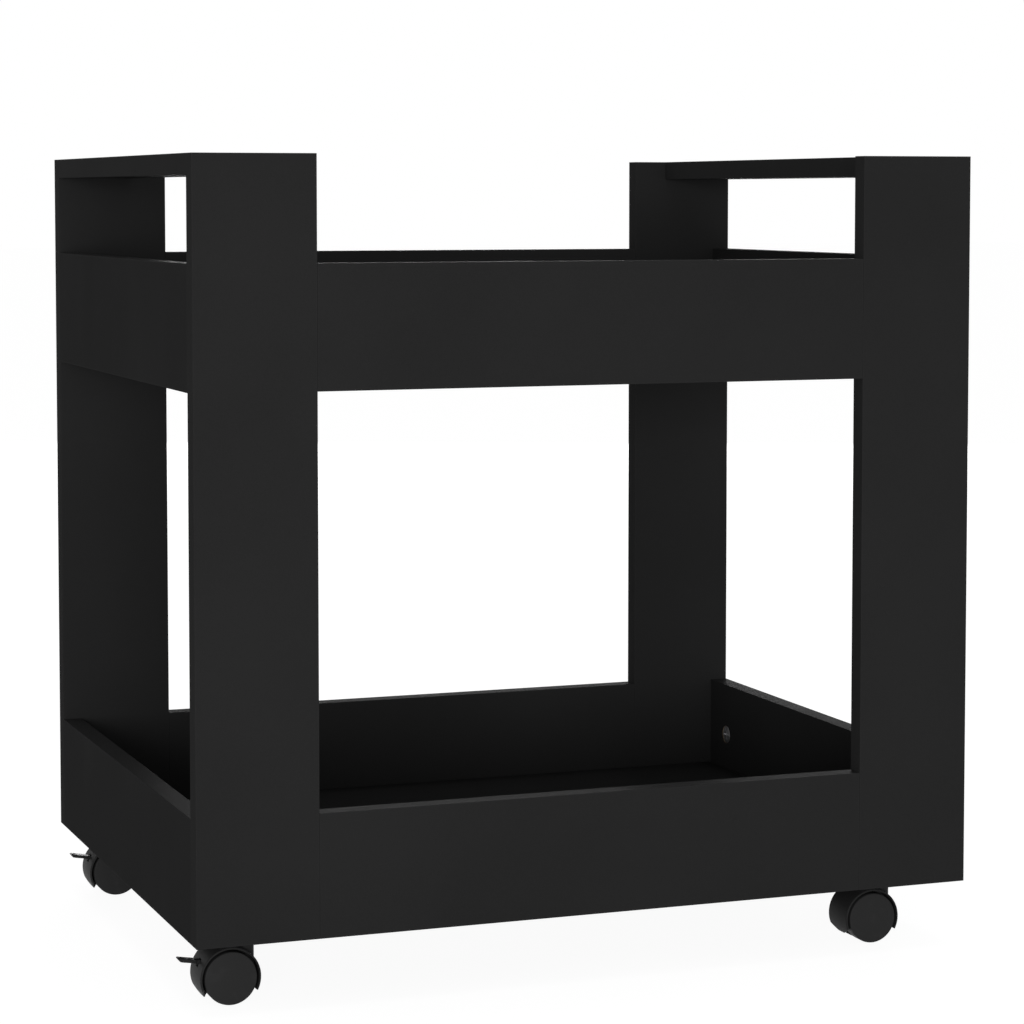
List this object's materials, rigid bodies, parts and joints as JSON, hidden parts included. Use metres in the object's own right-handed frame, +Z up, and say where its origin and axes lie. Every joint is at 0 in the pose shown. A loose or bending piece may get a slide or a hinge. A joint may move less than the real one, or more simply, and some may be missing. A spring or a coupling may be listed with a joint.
{
  "type": "rolling cart",
  "caption": "Low open cart of black laminated board with an upper and a lower shelf, flat side handles and twin-wheel swivel casters, one pair with brake levers.",
  "frame": {"origin": "on the floor under the middle of the frame", "axes": "+Z up, the front faces -Y, +X to the right as seen from the front; the casters trail towards -X"},
  "size_m": [0.6023, 0.45, 0.6],
  "materials": {
    "black_laminate": "particle board faced in black melamine laminate, satin, with black edge banding",
    "zinc": "dull nickel-plated zinc alloy",
    "zinc_plated_steel": "bright zinc-plated steel",
    "black_nylon": "glossy moulded black nylon",
    "wheel_nylon": "satin moulded black nylon"
  },
  "bodies": {
    "cart": {"stile_front_left": "black_laminate", "stile_front_right": "black_laminate", "stile_back_left": "black_laminate", "stile_back_right": "black_laminate", "rail_front_lower": "black_laminate", "rail_front_upper": "black_laminate", "rail_back_lower": "black_laminate", "rail_back_upper": "black_laminate", "rail_left_lower": "black_laminate", "rail_left_upper": "black_laminate", "rail_right_lower": "black_laminate", "rail_right_upper": "black_laminate", "handle_left": "black_laminate", "handle_right": "black_laminate", "shelf_lower": "black_laminate", "shelf_upper": "black_laminate", "cam_lock_left_lower_front": "zinc", "cam_lock_left_lower_back": "zinc", "cam_lock_left_upper_front": "zinc", "cam_lock_left_upper_back": "zinc", "cam_lock_right_lower_front": "zinc", "cam_lock_right_lower_back": "zinc", "cam_lock_right_upper_front": "zinc", "cam_lock_right_upper_back": "zinc", "cam_bolt_left_lower_front": "zinc_plated_steel", "cam_bolt_left_lower_back": "zinc_plated_steel", "cam_bolt_left_upper_front": "zinc_plated_steel", "cam_bolt_left_upper_back": "zinc_plated_steel", "cam_bolt_right_lower_front": "zinc_plated_steel", "cam_bolt_right_lower_back": "zinc_plated_steel", "cam_bolt_right_upper_front": "zinc_plated_steel", "cam_bolt_right_upper_back": "zinc_plated_steel", "caster_plate_front_left": "zinc_plated_steel", "caster_plate_front_right": "zinc_plated_steel", "caster_plate_back_left": "zinc_plated_steel", "caster_plate_back_right": "zinc_plated_steel", "kingpin_front_left": "zinc_plated_steel", "kingpin_front_right": "zinc_plated_steel", "kingpin_back_left": "zinc_plated_steel", "kingpin_back_right": "zinc_plated_steel"},
    "swivel_front_left": {"hood_front_left": "black_nylon", "axle_front_left": "zinc_plated_steel"},
    "swivel_front_right": {"hood_front_right": "black_nylon", "axle_front_right": "zinc_plated_steel"},
    "swivel_back_left": {"hood_back_left": "black_nylon", "axle_back_left": "zinc_plated_steel"},
    "swivel_back_right": {"hood_back_right": "black_nylon", "axle_back_right": "zinc_plated_steel"},
    "wheel_front_left_a": {"wheel_front_left_a": "wheel_nylon"},
    "wheel_front_left_b": {"wheel_front_left_b": "wheel_nylon"},
    "wheel_front_right_a": {"wheel_front_right_a": "wheel_nylon"},
    "wheel_front_right_b": {"wheel_front_right_b": "wheel_nylon"},
    "wheel_back_left_a": {"wheel_back_left_a": "wheel_nylon"},
    "wheel_back_left_b": {"wheel_back_left_b": "wheel_nylon"},
    "wheel_back_right_a": {"wheel_back_right_a": "wheel_nylon"},
    "wheel_back_right_b": {"wheel_back_right_b": "wheel_nylon"},
    "brake_front_left": {"brake_lever_front_left": "black_nylon"},
    "brake_back_left": {"brake_lever_back_left": "black_nylon"}
  },
  "joints": [
    {"name": "swivel_front_left_turn", "type": "hinge", "parent": "cart", "child": "swivel_front_left", "pos_m": [-0.253, -0.178, 0.045], "axis": [0, 0, 1], "continuous": true},
    {"name": "swivel_front_right_turn", "type": "hinge", "parent": "cart", "child": "swivel_front_right", "pos_m": [0.253, -0.178, 0.045], "axis": [0, 0, 1], "continuous": true},
    {"name": "swivel_back_left_turn", "type": "hinge", "parent": "cart", "child": "swivel_back_left", "pos_m": [-0.253, 0.178, 0.045], "axis": [0, 0, 1], "continuous": true},
    {"name": "swivel_back_right_turn", "type": "hinge", "parent": "cart", "child": "swivel_back_right", "pos_m": [0.253, 0.178, 0.045], "axis": [0, 0, 1], "continuous": true},
    {"name": "wheel_front_left_a_roll", "type": "hinge", "parent": "swivel_front_left", "child": "wheel_front_left_a", "pos_m": [-0.267, -0.188, 0.019], "axis": [0, 1, 0], "continuous": true},
    {"name": "wheel_front_left_b_roll", "type": "hinge", "parent": "swivel_front_left", "child": "wheel_front_left_b", "pos_m": [-0.267, -0.168, 0.019], "axis": [0, 1, 0], "continuous": true},
    {"name": "wheel_front_right_a_roll", "type": "hinge", "parent": "swivel_front_right", "child": "wheel_front_right_a", "pos_m": [0.239, -0.188, 0.019], "axis": [0, 1, 0], "continuous": true},
    {"name": "wheel_front_right_b_roll", "type": "hinge", "parent": "swivel_front_right", "child": "wheel_front_right_b", "pos_m": [0.239, -0.168, 0.019], "axis": [0, 1, 0], "continuous": true},
    {"name": "wheel_back_left_a_roll", "type": "hinge", "parent": "swivel_back_left", "child": "wheel_back_left_a", "pos_m": [-0.267, 0.168, 0.019], "axis": [0, 1, 0], "continuous": true},
    {"name": "wheel_back_left_b_roll", "type": "hinge", "parent": "swivel_back_left", "child": "wheel_back_left_b", "pos_m": [-0.267, 0.188, 0.019], "axis": [0, 1, 0], "continuous": true},
    {"name": "wheel_back_right_a_roll", "type": "hinge", "parent": "swivel_back_right", "child": "wheel_back_right_a", "pos_m": [0.239, 0.168, 0.019], "axis": [0, 1, 0], "continuous": true},
    {"name": "wheel_back_right_b_roll", "type": "hinge", "parent": "swivel_back_right", "child": "wheel_back_right_b", "pos_m": [0.239, 0.188, 0.019], "axis": [0, 1, 0], "continuous": true},
    {"name": "brake_front_left_press", "type": "hinge", "parent": "swivel_front_left", "child": "brake_front_left", "pos_m": [-0.28209, -0.178, 0.02918], "axis": [0, -1, 0], "range_deg": [0, 20]},
    {"name": "brake_back_left_press", "type": "hinge", "parent": "swivel_back_left", "child": "brake_back_left", "pos_m": [-0.28209, 0.178, 0.02918], "axis": [0, -1, 0], "range_deg": [0, 20]}
  ]
}
